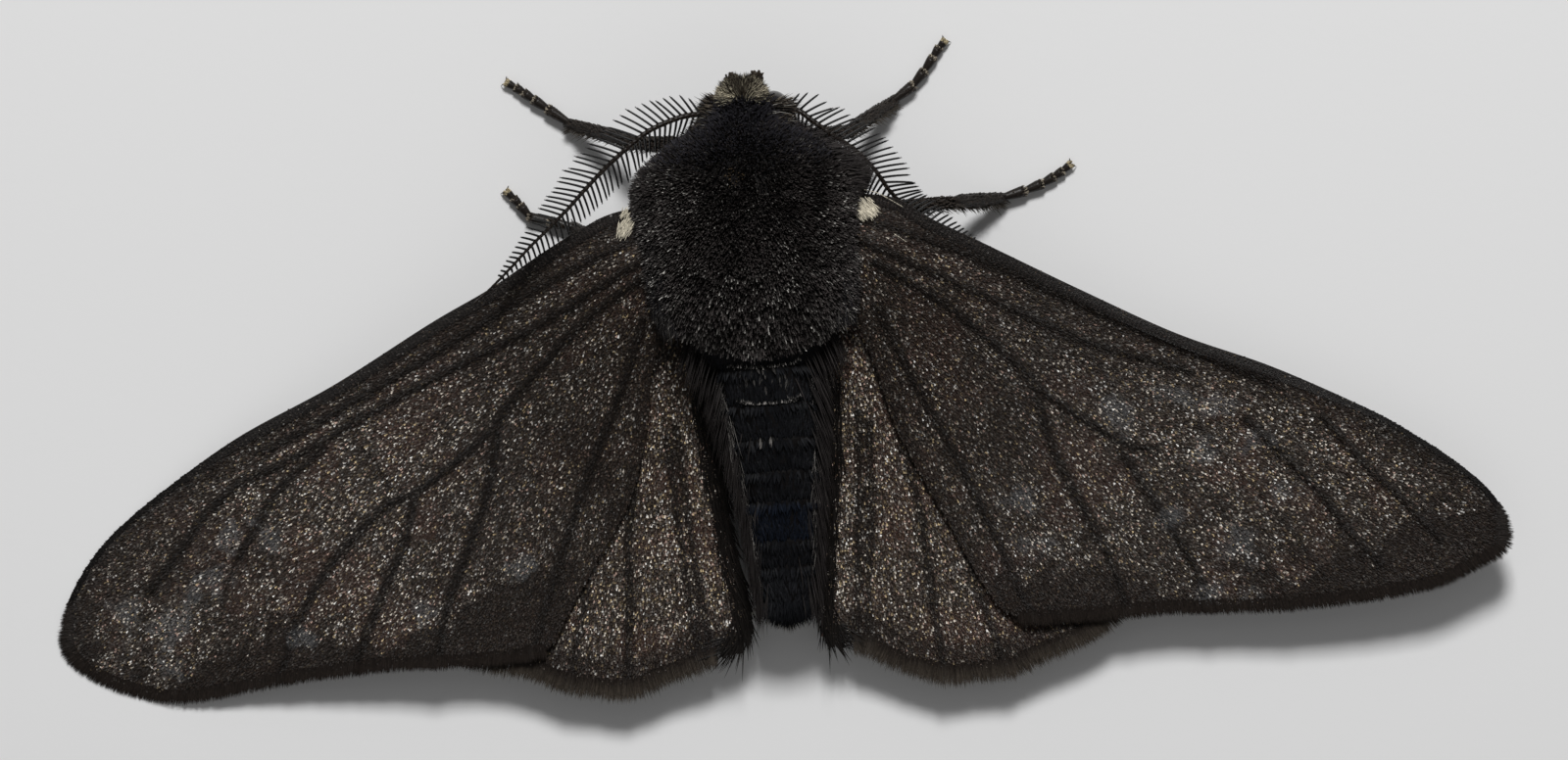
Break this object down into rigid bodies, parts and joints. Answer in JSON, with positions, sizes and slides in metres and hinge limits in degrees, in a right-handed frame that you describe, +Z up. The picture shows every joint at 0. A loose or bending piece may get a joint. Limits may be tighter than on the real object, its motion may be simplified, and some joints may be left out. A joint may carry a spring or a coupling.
{
  "type": "peppered moth",
  "caption": "Life-size still model of a dark male moth at rest on its feet, wings spread flat, feathery feelers swept back.",
  "frame": {"origin": "bottom centre of the moth's box, on the surface that its feet stand on", "axes": "+X to the moth's right across the span, +Y towards its head, +Z up from the surface it stands on"},
  "size_m": [0.0496, 0.0222, 0.0074],
  "materials": {
    "coat": "near-black velvety scale hair with a few pale-tipped scales",
    "abdomen_coat": "blue-black flat scales in rings, long grey hair at the sides",
    "head_tuft": "grey-brown bristly scale tuft, darker at its tips",
    "wing_scales": "matt dark brown-black wing scales with single pale and golden ones that catch the light",
    "eye": "dark glossy compound eye with fine facets",
    "antenna": "dark brown horny shaft and comb with fine hair",
    "leg": "dark scaled leg with pale rings at the foot's joints"
  },
  "bodies": {
    "root": {"head": "head_tuft", "eye_left": "eye", "eye_right": "eye", "antenna_left": "antenna", "antenna_right": "antenna", "thorax": "coat", "abdomen": "abdomen_coat", "forewing_left": "wing_scales", "forewing_right": "wing_scales", "hindwing_left": "wing_scales", "hindwing_right": "wing_scales", "leg_fore_left": "leg", "leg_fore_right": "leg", "leg_mid_left": "leg", "leg_mid_right": "leg", "leg_hind_left": "leg", "leg_hind_right": "leg"}
  },
  "joints": []
}
